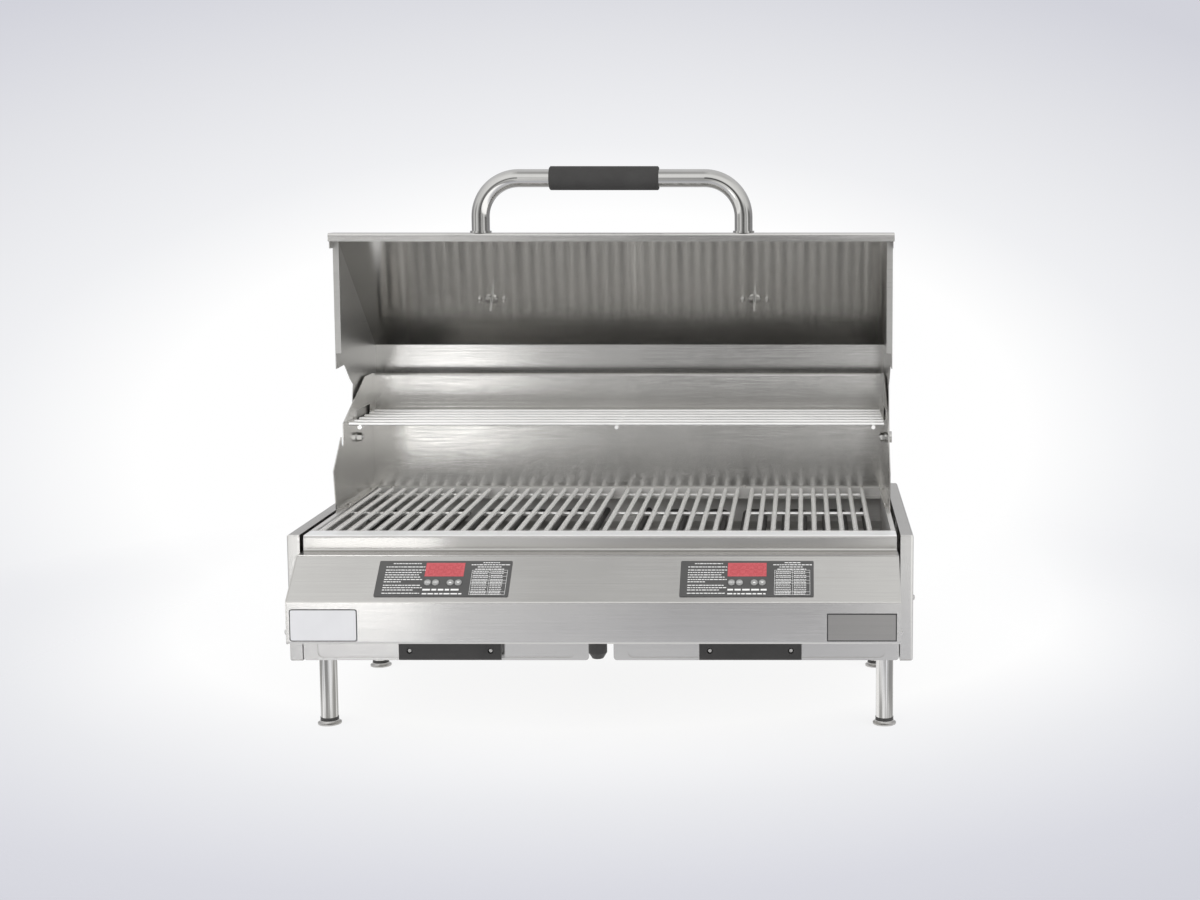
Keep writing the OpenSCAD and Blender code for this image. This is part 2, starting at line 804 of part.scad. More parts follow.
module foot() {
    neck = bush_z - seat_gap;
    stud_top = bush_z + bush_t + bush_deep + 6;
    flare = [3.5, 2];
    color("silver") rotate_extrude() polygon(concat(
        [[0, 0], [foot_dia / 2, 0], [foot_dia / 2, flare[1]]],
        [for (a = [0:15:90]) [foot_dia / 2 - flare[0] * sin(a), foot_t - (foot_t - flare[1]) * cos(a)]],
        [[stud_dia / 2 + 3, foot_t], [stud_dia / 2 + 3, neck], [stud_dia / 2, neck],
            [stud_dia / 2, stud_top], [0, stud_top]]
    ));
}
module front_left_foot() {
    at_leg(true, -1) foot();
}
module front_right_foot() {
    at_leg(true, 1) foot();
}
module rear_left_foot() {
    at_leg(false, -1) foot();
}
module rear_right_foot() {
    at_leg(false, 1) foot();
}

// Drip trays that slide out to the front
module drip_tray(side) {
    front_w = flange_x - tray_side_gap - tray_gap / 2;
    front_h = tray_front_top - tray_front_low;
    sill = 4;
    stile = 20;
    color("lightgray") sided(side) {
        difference() {
            translate([tray_mid, 0, (tray_front_top + tray_front_low) / 2]) rotate([-90, 0, 0])
                linear_extrude(tray_front_t) rounded_plate(front_w, front_h, 5);
            translate([tray_mid, -1, tray_front_low + sill + front_h / 2]) rotate([-90, 0, 0])
                linear_extrude(1 + tray_recess) rounded_plate(front_w - 2 * stile, front_h, 8);
        }
        difference() {
            union() {
                block([pan_in, tray_front_t, tray_z], [pan_out, tray_len, tray_rim_z + tray_sheet]);
                block([pan_in - pan_rim, tub_in, tray_rim_z],
                    [pan_out + pan_rim, tray_len, tray_rim_z + tray_sheet]);
            }
            block([pan_in + tray_sheet, tray_front_t + tray_sheet, tray_z + tray_sheet],
                [pan_out - tray_sheet, tray_len - tray_sheet, tray_rim_z + 2 * tray_sheet]);
        }
    }
}
module left_drip_tray() {
    drip_tray(-1);
}
module right_drip_tray() {
    drip_tray(1);
}
// Pull with a finger hollow behind it, screwed to a tray front
module tray_handle(side) {
    bevel = 2;
    screw_deep = 4;
    hollow_h = pull_h - pull_root;
    hollow_y = pull_wall - pull_d;
    color("#2e2d2c") sided(side) difference() {
        across(pull_x - pull_len / 2, pull_x + pull_len / 2) translate([0, pull_z]) polygon([
            [tray_recess, pull_h], [bevel - pull_d, pull_h], [-pull_d, pull_h - bevel], [-pull_d, bevel],
            [bevel - pull_d, 0], [hollow_y, 0], [hollow_y, hollow_h], [tray_recess, hollow_h]
        ]);
        for (end = [-1, 1])
            rod_y(pull_x + end * pull_screw_x, -pull_d - 1, screw_deep - pull_d, pull_z + pull_screw_z,
                pull_screw_dia);
    }
}
module left_tray_handle() {
    tray_handle(-1);
}
module right_tray_handle() {
    tray_handle(1);
}

// Lid, drawn closed and then turned open
module lid_hood() {
    color("silver") opened() difference() {
        folded(lid_outline, lid_sheet, 2 * (lid_x + hood_over));
        for (x = [-zone_x, zone_x]) on_lid_slope(x) translate([0, 0, -2 * lid_sheet])
            cylinder(h = 4 * lid_sheet, d = gauge_stem_dia + 2);
        for (x = [-handle_x, handle_x]) translate([x, -lid_front - 1, handle_z]) rotate([-90, 0, 0])
            cylinder(h = lid_sheet + 2, d = handle_bolt);
    }
}
module lid_side(side) {
    inside = inner_path(rounded(lid_outline, lid_sheet, bend_r), lid_sheet);
    front_y = -2;
    color("silver") opened() sided(side) {
        across(lid_x - lid_sheet, lid_x) difference() {
            union() {
                polygon(concat([for (i = [1:len(inside) - 1]) inside[i]], [
                    hinge + [ear_r, 0], hinge - [0, ear_r], hinge + ear_front, hinge + ear_notch,
                    hinge + ear_nose, [hinge[0] + ear_nose[0] + 2, lid_edge_z], [front_y, lid_edge_z],
                    [front_y, lip_z + lid_sheet]
                ]));
                translate(hinge) circle(ear_r);
            }
            translate(hinge) circle(d = hinge_dia + 2 * run_fit);
        }
        block([lid_x - lid_flange, lip_w - lid_front, lid_edge_z],
            [lid_x, hinge[0] - wall_reach, lid_edge_z + lid_sheet]);
    }
}
module lid_left_side() {
    lid_side(-1);
}
module lid_right_side() {
    lid_side(1);
}
// Shoulder bolts through the lid's ears, held by nuts inside the fixed walls
module hinge_bolts() {
    play = 0.3;
    wall_out = wall_x + sheet;
    washer_out = lid_x - lid_sheet - play;
    color("gainsboro") for (side = [-1, 1]) sided(side)
        translate([0, hinge[0], hinge[1]]) rotate([0, 90, 0]) {
        translate([0, 0, lid_x + play]) cylinder(h = 4, d = hinge_dia + 8);
        translate([0, 0, wall_out]) cylinder(h = lid_x + play - wall_out, d = hinge_dia);
        translate([0, 0, wall_out]) cylinder(h = washer_out - wall_out, d = hinge_dia + 8);
        translate([0, 0, wall_x - 10]) cylinder(h = sheet + 10, d = hinge_dia - 2);
        translate([0, 0, wall_x - 1.5]) cylinder(h = 1.5, d = hinge_dia + 6);
        translate([0, 0, wall_x - 8]) cylinder(h = 7, d = hinge_dia + 4, $fn = 6);
    }
}
// Half of the handle's centre line, swept with a round of the given diameter
module handle_half(dia) {
    straight = handle_reach - handle_bend - foot_collar_t;
    translate([handle_x, -lid_front - foot_collar_t, handle_z]) rotate([90, 0, 0])
        cylinder(h = straight, d = dia);
    translate([handle_x - handle_bend, -lid_front - handle_reach + handle_bend, handle_z]) rotate([0, 0, -90])
        rotate_extrude(angle = 90) translate([handle_bend, 0]) circle(d = dia);
    rod_x(0, handle_x - handle_bend, -lid_front - handle_reach, handle_z, dia);
}
module handle_tube() {
    color("whitesmoke") opened() difference() {
        for (side = [-1, 1]) sided(side) handle_half(handle_dia);
        for (side = [-1, 1]) sided(side) handle_half(handle_dia - 2 * handle_wall);
    }
}
module handle_grip() {
    grip_fit = 0.05;
    bore_r = handle_dia / 2 + grip_fit;
    out_r = grip_dia / 2;
    edge = 1.5;
    color("#1b1b1c") opened() translate([grip_shift - grip_len / 2, -lid_front - handle_reach, handle_z])
        rotate([0, 90, 0]) rotate_extrude() polygon([
            [bore_r, 0], [out_r - edge, 0], [out_r, edge], [out_r, grip_len - edge],
            [out_r - edge, grip_len], [bore_r, grip_len]
        ]);
}
// Flanged plugs in the ends of the handle tube, bolted through the lid's front band
module handle_collars() {
    plug_fit = 0.1;
    color("silver") opened() for (x = [-handle_x, handle_x])
        translate([x, -lid_front, handle_z]) rotate([90, 0, 0]) {
        cylinder(h = foot_collar_t, d = collar_dia);
        cylinder(h = foot_collar_t + collar_plug, d = handle_dia - 2 * handle_wall - 2 * plug_fit);
        translate([0, 0, -lid_sheet]) cylinder(h = lid_sheet + 1, d = handle_bolt);
        translate([0, 0, -lid_sheet - bolt_head[1]]) cylinder(h = bolt_head[1], d = bolt_head[0]);
    }
}
// Round gauges on the slope: open case outside, washer and stem inside
module lid_gauges() {
    color("gainsboro") opened() for (x = [-zone_x, zone_x]) on_lid_slope(x) {
        rotate_extrude() polygon([
            [0, 0], [gauge_dia / 2, 0], [gauge_dia / 2, gauge_t - bezel], [gauge_dia / 2 - bezel, gauge_t],
            [gauge_dia / 2 - gauge_wall, gauge_t], [gauge_dia / 2 - gauge_wall, gauge_floor], [0, gauge_floor]
        ]);
        cylinder(h = gauge_floor + 3, d = gauge_pin_dia);
        translate([0, 0, -lid_sheet - stem_len]) cylinder(h = stem_len + lid_sheet + 1, d = gauge_stem_dia);
        translate([0, 0, -lid_sheet - washer[1]]) cylinder(h = washer[1], d = washer[0]);
    }
}
module gauge_glasses() {
    glass_t = 1.5;
    color([0.9, 0.95, 1, 0.4]) opened() for (x = [-zone_x, zone_x]) on_lid_slope(x)
        translate([0, 0, gauge_t - glass_t - 0.5]) cylinder(h = glass_t, d = gauge_dia - 2 * gauge_wall);
}
module pointer(x) {
    needle_t = 0.8;
    color("#b02020") opened() on_lid_slope(x) rotate([0, 0, 225]) translate([0, 0, gauge_floor + seat_gap])
        linear_extrude(needle_t) difference() {
            union() {
                circle(d = gauge_pin_dia + 4);
                polygon([[0, -1.6], [gauge_dia / 2 - 7, -0.4], [gauge_dia / 2 - 7, 0.4], [0, 1.6]]);
            }
            circle(d = gauge_pin_dia + 2 * run_fit);
        }
}
module left_pointer() {
    pointer(-zone_x);
}
module right_pointer() {
    pointer(zone_x);
}

centred() left_side_panel();
centred() right_side_panel();
centred() firebox();
centred() front_rail();
centred() rear_wall();
centred() left_fixed_wall();
centred() right_fixed_wall();
centred() rear_panel();
centred() left_leg_plate();
centred() right_leg_plate();
centred() tray_runners();
centred() control_box();
centred() left_control_panel();
centred() right_control_panel();
centred() left_display();
centred() right_display();
centred() left_control_board();
centred() right_control_board();
centred() power_unit();
centred() left_element();
centred() right_element();
centred() element_rests();
centred() cord_gland();
centred() hinge_bolts();
centred() front_left_leg();
centred() front_right_leg();
centred() rear_left_leg();
centred() rear_right_leg();
centred() leg_bushes();
centred() front_left_foot();
centred() front_right_foot();
centred() rear_left_foot();
centred() rear_right_foot();
centred() grate_1();
centred() grate_2();
centred() grate_3();
centred() grate_4();
centred() warming_rack();
centred() left_drip_tray();
centred() right_drip_tray();
centred() left_tray_handle();
centred() right_tray_handle();
centred() left_on_button();
centred() left_off_button();
centred() left_up_button();
centred() left_down_button();
centred() right_on_button();
centred() right_off_button();
centred() right_up_button();
centred() right_down_button();
centred() lid_hood();
centred() lid_left_side();
centred() lid_right_side();
centred() handle_tube();
centred() handle_grip();
centred() handle_collars();
centred() lid_gauges();
centred() gauge_glasses();
centred() left_pointer();
centred() right_pointer();
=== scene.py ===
"""Electric table grill with its lid open.

Finishes, small fittings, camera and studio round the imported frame.
"""
import json
import math
import random

import bmesh
import bpy
from mathutils import Matrix, Vector


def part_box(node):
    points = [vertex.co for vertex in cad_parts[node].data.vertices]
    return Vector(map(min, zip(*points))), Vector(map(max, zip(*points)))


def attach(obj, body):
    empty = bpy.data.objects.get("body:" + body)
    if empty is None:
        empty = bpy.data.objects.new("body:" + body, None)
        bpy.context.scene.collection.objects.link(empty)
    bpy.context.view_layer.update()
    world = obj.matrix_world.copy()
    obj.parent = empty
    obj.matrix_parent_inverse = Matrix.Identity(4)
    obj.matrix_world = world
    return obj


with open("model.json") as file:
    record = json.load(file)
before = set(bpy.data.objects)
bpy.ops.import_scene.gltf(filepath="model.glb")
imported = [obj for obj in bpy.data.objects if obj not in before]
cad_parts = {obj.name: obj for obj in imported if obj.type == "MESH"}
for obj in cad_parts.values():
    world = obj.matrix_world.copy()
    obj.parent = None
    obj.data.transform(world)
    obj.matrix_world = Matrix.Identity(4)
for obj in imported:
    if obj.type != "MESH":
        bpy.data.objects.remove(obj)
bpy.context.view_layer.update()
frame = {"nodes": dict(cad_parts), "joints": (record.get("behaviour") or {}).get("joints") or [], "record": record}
nodes = frame["nodes"]

MM = 0.001
BODY = "body"
LID = "lid"
SIDES = ("left", "right")
X_AXIS = Vector((1, 0, 0))
UP = Vector((0, 0, 1))
FRONT = Vector((0, -1, 0))


# Places read from the frame

SLOPE_RISE = 51.5
SLOPE_RUN = 58.0
END_PROUD = 0.6 * MM
joint_places = {j["name"]: Vector(j["pos_m"]) for j in frame["joints"] if "pos_m" in j}
box_low, box_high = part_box("control_box")
FLANGE_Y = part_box("left_side_panel")[0].y
FACE_Y = box_low.y + END_PROUD


def middle(node):
    low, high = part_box(node)
    return (low + high) / 2


def facing(origin, right, up):
    """Place whose local x, y and z run right, up and out of a face."""
    out = right.cross(up)
    matrix = Matrix((right, up, out)).transposed().to_4x4()
    matrix.translation = origin
    return matrix


def outward(axis, origin):
    """Place whose local z runs along the axis."""
    matrix = axis.to_track_quat("Z", "Y").to_matrix().to_4x4()
    matrix.translation = origin
    return matrix


def slope_face(node, thickness):
    """Place on the outer face of a node that lies on the control box's slope."""
    tilt = math.atan2(SLOPE_RISE, SLOPE_RUN)
    up_slope = Vector((0, math.cos(tilt), math.sin(tilt)))
    out = X_AXIS.cross(up_slope)
    return facing(middle(node) + out * thickness / 2, X_AXIS, up_slope)


# Materials

# Numbers of a Mix node's two inputs and its output, by the kind of data
MIX_SOCKETS = {"RGBA": (6, 7, 2), "VECTOR": (4, 5, 1)}


class NodeTree:
    """Short calls that add nodes to a material or to the world."""

    def __init__(self, tree):
        self.tree = tree

    def give(self, socket, value):
        """Links a socket to another one, or sets its plain value."""
        if isinstance(value, bpy.types.NodeSocket):
            self.tree.links.new(value, socket)
        else:
            socket.default_value = value

    def set(self, node, sockets):
        for name, value in sockets.items():
            self.give(node.inputs[name.replace("_", " ")], value)

    def node(self, kind, settings=None, **sockets):
        made = self.tree.nodes.new("ShaderNode" + kind)
        for name, value in (settings or {}).items():
            setattr(made, name, value)
        self.set(made, sockets)
        return made

    def place(self):
        return self.node("TexCoord").outputs["Object"]

    def stretched(self, scale, place=None):
        """Object coordinates scaled by a different factor along each axis."""
        return self.node("Mapping", Vector=place or self.place(), Scale=scale).outputs["Vector"]

    def noise(self, place, scale, detail=3.0, roughness=0.55):
        made = self.node("TexNoise", Vector=place, Scale=scale, Detail=detail, Roughness=roughness)
        return made.outputs["Fac"]

    def ramp(self, value, low, high, start=0.3, end=0.7):
        """Maps a 0 to 1 value onto low to high, between start and end."""
        made = self.node("MapRange", {"clamp": True}, Value=value, From_Min=start, From_Max=end,
                         To_Min=low, To_Max=high)
        return made.outputs["Result"]

    def stops(self, value, colours):
        """Maps a 0 to 1 value onto a row of (position, colour) stops."""
        made = self.node("ValToRGB", Fac=value)
        row = made.color_ramp.elements
        while len(row) < len(colours):
            row.new(1.0)
        for element, (position, colour) in zip(row, colours):
            element.position = position
            element.color = (*colour, 1)
        return made.outputs["Color"]

    def tint(self, value, dark, light, start=0.3, end=0.7):
        """Maps a 0 to 1 value onto two colours."""
        return self.stops(value, ((start, dark), (end, light)))

    def mix(self, kind, factor, first, second):
        """One colour or vector fading into another."""
        low, high, out = MIX_SOCKETS[kind]
        made = self.node("Mix", {"data_type": kind}, Factor=factor)
        self.give(made.inputs[low], first)
        self.give(made.inputs[high], second)
        return made.outputs[out]

    def round_fade(self, place, centre, reach):
        """1 at the centre, falling to 0 at a distance of reach along each axis."""
        scale = [1 / r if r else 0 for r in reach]
        shift = [-c * s for c, s in zip(centre, scale)]
        ball = self.node("Mapping", Vector=place, Location=shift, Scale=scale)
        made = self.node("TexGradient", {"gradient_type": "SPHERICAL"}, Vector=ball.outputs["Vector"])
        return made.outputs["Fac"]

    def math(self, operation, a, b=0.0):
        made = self.node("Math", {"operation": operation})
        self.give(made.inputs[0], a)
        self.give(made.inputs[1], b)
        return made.outputs["Value"]


class Finish(NodeTree):
    """A material, new or given: one Principled shader and the nodes that feed it."""

    def __init__(self, name, material=None, **sockets):
        self.material = material or bpy.data.materials.new(name)
        self.material.use_nodes = True
        super().__init__(self.material.node_tree)
        self.shader = self.tree.nodes["Principled BSDF"]
        self.set(self.shader, sockets)

    def bump(self, height, distance, strength=1.0):
        made = self.node("Bump", Height=height, Distance=distance, Strength=strength)
        self.set(self.shader, {"Normal": made.outputs["Normal"]})

    def feed(self, **sockets):
        self.set(self.shader, sockets)
        return self.material


BRUSH_LONG = 6
BRUSH_ACROSS = 1400
BRUSH_DEPTH = 0.0075 * MM
BRUSH_SHARE = 0.55
CLOUD_SHARE = 0.45
CLOUD_SCALE = 7.0
SIDEWAYS = 0.7


def brushed(name, light, dark, rough, grain=1.0, anisotropy=1.0, metal=1.0):
    """Steel brushed along X, or along Y on faces that look sideways."""
    steel = Finish(name, Metallic=metal, Anisotropic=anisotropy)
    coords = steel.node("TexCoord")
    normal = coords.outputs["Normal"]
    spot = coords.outputs["Object"]
    lean = steel.math("ABSOLUTE", steel.node("SeparateXYZ", Vector=normal).outputs["X"])
    sideways = steel.math("GREATER_THAN", lean, SIDEWAYS)
    along_x = steel.stretched((BRUSH_LONG, BRUSH_ACROSS, BRUSH_ACROSS), spot)
    along_y = steel.stretched((BRUSH_ACROSS, BRUSH_LONG, BRUSH_ACROSS), spot)
    lines = steel.noise(steel.mix("VECTOR", sideways, along_x, along_y), 1.0, 4.0)
    cloud = steel.noise(spot, CLOUD_SCALE, 4.0)
    cross = steel.node("VectorMath", {"operation": "CROSS_PRODUCT"})
    steel.give(cross.inputs[0], normal)
    steel.give(cross.inputs[1], steel.mix("VECTOR", sideways, (1, 0, 0), (0, 1, 0)))
    turn = {"vector_type": "VECTOR", "convert_from": "OBJECT", "convert_to": "WORLD"}
    turned = steel.node("VectorTransform", turn, Vector=cross.outputs["Vector"])
    steel.bump(lines, BRUSH_DEPTH * grain)
    both = steel.math("ADD", steel.math("MULTIPLY", lines, BRUSH_SHARE),
                      steel.math("MULTIPLY", cloud, CLOUD_SHARE))
    return steel.feed(
        Base_Color=steel.tint(both, dark, light),
        Roughness=steel.ramp(both, rough * 0.85, rough * 1.2),
        Tangent=turned.outputs["Vector"])


# Depth below the rail's top over which its painted highlight fades in
PAINTED_TOP_FROM = 1.2 * MM
PAINTED_TOP_TO = 0.2 * MM


def painted_top_rail(name, top_z):
    """Brushed steel whose top carries a painted highlight: a strip painted pale and made less metallic for the
    light the top catches.
    """
    made = brushed(name, (0.62, 0.61, 0.59), (0.54, 0.53, 0.51), 0.18, 3.0)
    steel = Finish(name, made)
    height = steel.node("SeparateXYZ", Vector=steel.place()).outputs["Z"]
    # Painted highlight: the top strip fades to pale satin tones that stand in for the light on the top
    painted_top = steel.ramp(height, 0.0, 1.0, top_z - PAINTED_TOP_FROM, top_z - PAINTED_TOP_TO)
    plain = steel.shader.inputs["Base Color"].links[0].from_socket
    marks_and_painted_streaks = steel.noise(steel.stretched((20, 200, 200)), 1.0)
    painted_highlight = steel.tint(marks_and_painted_streaks, (0.86, 0.86, 0.86), (0.93, 0.93, 0.93))
    return steel.feed(
        Metallic=steel.ramp(painted_top, 1.0, 0.1, 0.0, 1.0),
        Base_Color=steel.mix("RGBA", painted_top, plain, painted_highlight))


def drawn(name, light, dark, rough, scale=(60, 60, 60), metal=1.0, start=0.3, end=0.7):
    """Bright drawn or polished steel with faint marks, stronger where start and end are close; on the legs, strong
    light and dark streaks are painted reflections.
    """
    steel = Finish(name, Metallic=metal)
    marks_and_painted_streaks = steel.noise(steel.stretched(scale), 1.0, 4.0)
    steel.bump(marks_and_painted_streaks, 0.03 * MM, 0.3)
    return steel.feed(
        Base_Color=steel.tint(marks_and_painted_streaks, dark, light, start, end),
        Roughness=steel.ramp(marks_and_painted_streaks, rough * 0.7, rough * 1.4))


def moulded(name, light, dark, rough, grain_scale, depth):
    """Plastic, foam or paint with a fine grain and slow changes of tone."""
    plastic = Finish(name)
    grain = plastic.noise(plastic.place(), grain_scale, 3.0)
    cloud = plastic.noise(plastic.place(), 22.0, 3.0)
    plastic.bump(grain, depth * MM, 0.6)
    return plastic.feed(
        Base_Color=plastic.tint(cloud, dark, light),
        Roughness=plastic.ramp(grain, rough * 0.85, min(1.0, rough * 1.15)))


def clear_glass(name):
    glass = Finish(name, Transmission_Weight=1.0, IOR=1.45)
    smear = glass.noise(glass.place(), 30.0)
    return glass.feed(
        Base_Color=glass.tint(smear, (0.95, 0.97, 0.97), (0.98, 0.99, 0.99)),
        Roughness=glass.ramp(smear, 0.02, 0.07))


# One finish for each of the record's material slots. The rows give the light and dark tone and the
# roughness; then brushed has its grain, anisotropy and metal, drawn the scale of its marks and metal,
# and moulded the scale of its grain and its depth in mm.
finishes = {
    "brushed_sheet": brushed(
        "brushed stainless", (0.71, 0.70, 0.675), (0.61, 0.60, 0.58), 0.17, 7.0),
    "dull_sheet": brushed(
        "mill steel", (0.50, 0.49, 0.47), (0.36, 0.355, 0.34), 0.38, 1.2, 0.6),
    "bright_rod": drawn(
        "bright rod", (0.97, 0.965, 0.95), (0.92, 0.915, 0.90), 0.16, (12, 12, 12), 0.65),
    "polished_tube": drawn(
        "polished tube", (0.60, 0.595, 0.58), (0.54, 0.535, 0.52), 0.08, (12, 12, 12)),
    "element_sheath": moulded(
        "oxidised sheath", (0.060, 0.057, 0.054), (0.020, 0.019, 0.018), 0.55, 320, 0.1),
    "panel_charcoal": moulded(
        "charcoal overlay", (0.076, 0.075, 0.074), (0.062, 0.061, 0.060), 0.5, 900, 0.03),
    "display_red": moulded(
        "red window", (0.50, 0.092, 0.104), (0.45, 0.078, 0.09), 0.28, 500, 0.01),
    "key_grey": moulded(
        "grey key", (0.30, 0.30, 0.295), (0.25, 0.25, 0.245), 0.42, 700, 0.03),
    "board_green": moulded(
        "circuit board", (0.03, 0.16, 0.07), (0.02, 0.10, 0.045), 0.45, 400, 0.03),
    "black_plastic": moulded(
        "charcoal plastic", (0.042, 0.040, 0.038), (0.030, 0.029, 0.028), 0.45, 650, 0.05),
    "grip_foam": moulded(
        "black foam", (0.042, 0.041, 0.040), (0.032, 0.031, 0.030), 0.85, 1100, 0.2),
    "gauge_glass": clear_glass("gauge glass"),
    "pointer_red": moulded(
        "needle enamel", (0.55, 0.045, 0.04), (0.46, 0.035, 0.03), 0.35, 400, 0.02),
}

# Finishes of small fittings and print
print_white = moulded("print white", (0.80, 0.80, 0.79), (0.72, 0.72, 0.71), 0.6, 800, 0.02)
plate_white = moulded("plate white", (0.64, 0.64, 0.65), (0.60, 0.60, 0.61), 0.42, 600, 0.02)
print_black = moulded("print black", (0.030, 0.030, 0.030), (0.020, 0.020, 0.020), 0.5, 800, 0.02)
segment_red = moulded("unlit segment", (0.42, 0.063, 0.074), (0.38, 0.057, 0.067), 0.35, 500, 0.01)
plate_steel = brushed("plate steel", (0.45, 0.44, 0.425), (0.38, 0.37, 0.355), 0.3)
zinc = drawn("zinc fastener", (0.70, 0.69, 0.67), (0.50, 0.49, 0.47), 0.24, (300, 300, 300))

# Nodes whose steel differs from that of their slot
lid_end_steel = brushed(
    "lid end steel", (0.47, 0.465, 0.45), (0.41, 0.405, 0.39), 0.3, 3.0, 0.6, 0.8)
# Legs: the strong light and dark lengthwise streaks in their colour are painted reflections of the surroundings
leg_painted_streak_steel = drawn(
    "leg steel with painted streaks", (0.86, 0.85, 0.83), (0.30, 0.295, 0.28), 0.2, (150, 150, 3), 1.0, 0.42, 0.56)
foot_steel = drawn("foot steel", (0.60, 0.59, 0.57), (0.44, 0.43, 0.42), 0.32, (90, 90, 300))
own_finish = {
    "firebox": brushed(
        "firebox liner", (0.70, 0.69, 0.675), (0.56, 0.55, 0.535), 0.4, 1.2, 0.6, 0.4),
    # The front rail's top has a painted highlight
    "front_rail": painted_top_rail("rail steel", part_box("front_rail")[1].z),
    "lid_hood": brushed("hood steel", (0.75, 0.74, 0.72), (0.66, 0.65, 0.63), 0.14, 12.0),
    "rear_wall": brushed("wall steel", (0.73, 0.72, 0.695), (0.63, 0.62, 0.60), 0.14, 18.0),
}
for side in SIDES:
    own_finish["lid_" + side + "_side"] = lid_end_steel
    for end in ("front", "rear"):
        # Legs take the steel with painted reflection streaks
        own_finish["%s_%s_leg" % (end, side)] = leg_painted_streak_steel
        own_finish["%s_%s_foot" % (end, side)] = foot_steel
for part in frame["record"]["subparts"]:
    for material_slot in nodes[part["node"]].material_slots:
        material_slot.material = own_finish.get(part["node"], finishes[part["material_slot"]])


# Mesh helpers for small fittings

def mesh_object(name, mesh, material):
    """An object in the scene, made from a bmesh."""
    data = bpy.data.meshes.new(name)
    bmesh.ops.recalc_face_normals(mesh, faces=mesh.faces)
    mesh.to_mesh(data)
    mesh.free()
    data.materials.append(material)
    made = bpy.data.objects.new(name, data)
    bpy.context.scene.collection.objects.link(made)
    return made


def add_piece(name, mesh, material, body):
    piece = mesh_object(name, mesh, material)
    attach(piece, body)


def turned_profile(mesh, profile, place, steps=24):
    """Revolves a list of (radius, height) about local z and adds it to the mesh."""
    turns = [math.tau * i / steps for i in range(steps)]
    rings = []
    for radius, height in profile:
        spots = [Vector((radius * math.cos(a), radius * math.sin(a), height)) for a in turns]
        if radius == 0:
            spots = [Vector((0, 0, height))]
        rings.append([mesh.verts.new(place @ spot) for spot in spots])
    for low, high in zip(rings, rings[1:]):
        for i in range(steps):
            corners = [low[i % len(low)], low[(i + 1) % len(low)],
                       high[(i + 1) % len(high)], high[i % len(high)]]
            unique = list(dict.fromkeys(corners))
            if len(unique) > 2:
                mesh.faces.new(unique).smooth = True


def rounded_outline(width, height, radius, steps=6):
    points = []
    for cx, cy, start in ((1, 1, 0), (-1, 1, 90), (-1, -1, 180), (1, -1, 270)):
        for i in range(steps + 1):
            angle = math.radians(start + 90 * i / steps)
            points.append((cx * (width / 2 - radius) + radius * math.cos(angle),
                           cy * (height / 2 - radius) + radius * math.sin(angle)))
    return points


def add_plate(mesh, outline, place, thickness, bevel=0.0):
    """A flat plate on local z = 0, with its top edge drawn in by the bevel."""
    count = len(outline)
    cx = sum(p[0] for p in outline) / count
    cy = sum(p[1] for p in outline) / count
    levels = [(1.0, 0.0), (1.0, thickness - bevel)]
    if bevel:
        span = max(abs(p[0] - cx) for p in outline)
        levels.append((1 - bevel / span, thickness))
    rings = []
    for size, z in levels:
        spots = [Vector((cx + (x - cx) * size, cy + (y - cy) * size, z)) for x, y in outline]
        rings.append([mesh.verts.new(place @ spot) for spot in spots])
    for low, high in zip(rings, rings[1:]):
        for i in range(count):
            mesh.faces.new((low[i], low[(i + 1) % count], high[(i + 1) % count], high[i]))
    mesh.faces.new(rings[-1])
    mesh.faces.new(rings[0][::-1])


def add_bar(mesh, place, x, y, width, height, thickness):
    outline = [(x, y), (x + width, y), (x + width, y + height), (x, y + height)]
    add_plate(mesh, outline, place, thickness)


# Printed control panels

PANEL_T = 1.2 * MM
PRINT_T = 0.12 * MM
LINE_HEIGHT = 1.25 * MM
CELL_LINE_HEIGHT = 0.9 * MM
CELL_LINE_PITCH = 3.0
RULE = 0.35 * MM
# Lines of print in mm from the panel's middle: height, left end, right end, and size for the bold ones
LEFT_LINES = (
    (25.3, -73, -34), (19.6, -82, -28), (14.3, -82, -27), (10.2, -82, -32), (6.2, -82, -35),
    (2.3, -82, -31), (-1.7, -82, -28), (-5.6, -82, -58), (-11.4, -82, -31), (-15.4, -82, -28),
    (-19.3, -82, -38), (-24.7, -82, -30))
RIGHT_LINES = ((26.9, 52, 75), (23.3, 36, 90), (19.6, 45, 79), (15.8, 42, 82))
BOLD_LINES = ((-18.8, -26.5, 27.5, 2.8), (-25.5, -26.5, 28.0, 2.0))
TABLE_LEFT = 38.0
TABLE_SPLIT = 63.0
TABLE_RIGHT = 87.0
TABLE_ROWS = (13.9, 9.9, 3.6, -3.2, -8.0, -22.5, -27.2)
CELL_EDGE = 2.0
CELL_RIGHT_EDGE = 5.0
WORD_LENGTHS = (1.6, 4.6)
WORD_GAP = 0.75
word_draws = random.Random(7)


def add_words(mesh, place, x0, x1, y, height):
    """A line of plain bars, as long as words, from x0 to x1."""
    x = x0
    while x < x1 - height:
        width = min(x1 - x, height * word_draws.uniform(*WORD_LENGTHS))
        add_bar(mesh, place, x, y - height / 2, width, height, PRINT_T)
        x += width + height * WORD_GAP


